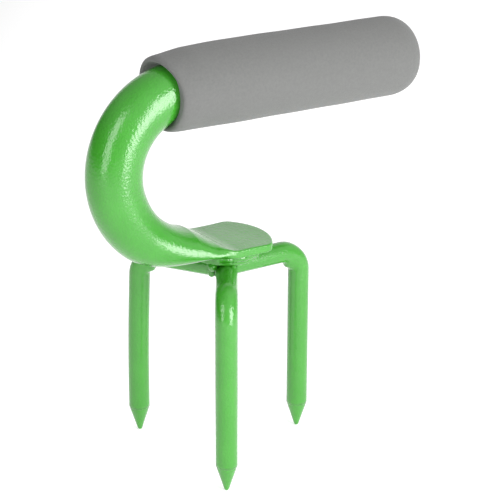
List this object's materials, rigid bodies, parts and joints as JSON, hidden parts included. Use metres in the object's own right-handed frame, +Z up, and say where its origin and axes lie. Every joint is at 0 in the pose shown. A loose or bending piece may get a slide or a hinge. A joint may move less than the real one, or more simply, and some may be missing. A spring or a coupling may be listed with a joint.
{
  "type": "three-prong hand cultivator",
  "caption": "Hand-held garden tool: a bent steel tube handle with a foam grip, its lower end pressed flat and welded to ground spikes of bent round bar.",
  "frame": {"origin": "bottom centre of the whole tool's box; z = 0 is the plane of the three prong tips", "axes": "+Z up, from the prong tips to the grip; +X along the grip from the bend to its closed end; the tool is mirror-symmetric about Y = 0"},
  "size_m": [0.216, 0.1096, 0.2504],
  "materials": {
    "green_powder_coat": "gloss powder coat with fine orange peel",
    "grey_foam": "matt closed-cell foam",
    "black_plastic": "matt moulded"
  },
  "bodies": {
    "root": {"handle_tube": "green_powder_coat", "tube_end_plug": "black_plastic", "foam_grip": "grey_foam", "hub_disc": "green_powder_coat", "prong_front": "green_powder_coat", "prong_left": "green_powder_coat", "prong_right": "green_powder_coat", "weld_hub_left": "green_powder_coat", "weld_hub_rear": "green_powder_coat", "weld_hub_right": "green_powder_coat", "weld_prong_front": "green_powder_coat", "weld_prong_left": "green_powder_coat", "weld_prong_right": "green_powder_coat", "weld_handle_left": "green_powder_coat", "weld_handle_right": "green_powder_coat"}
  },
  "joints": []
}
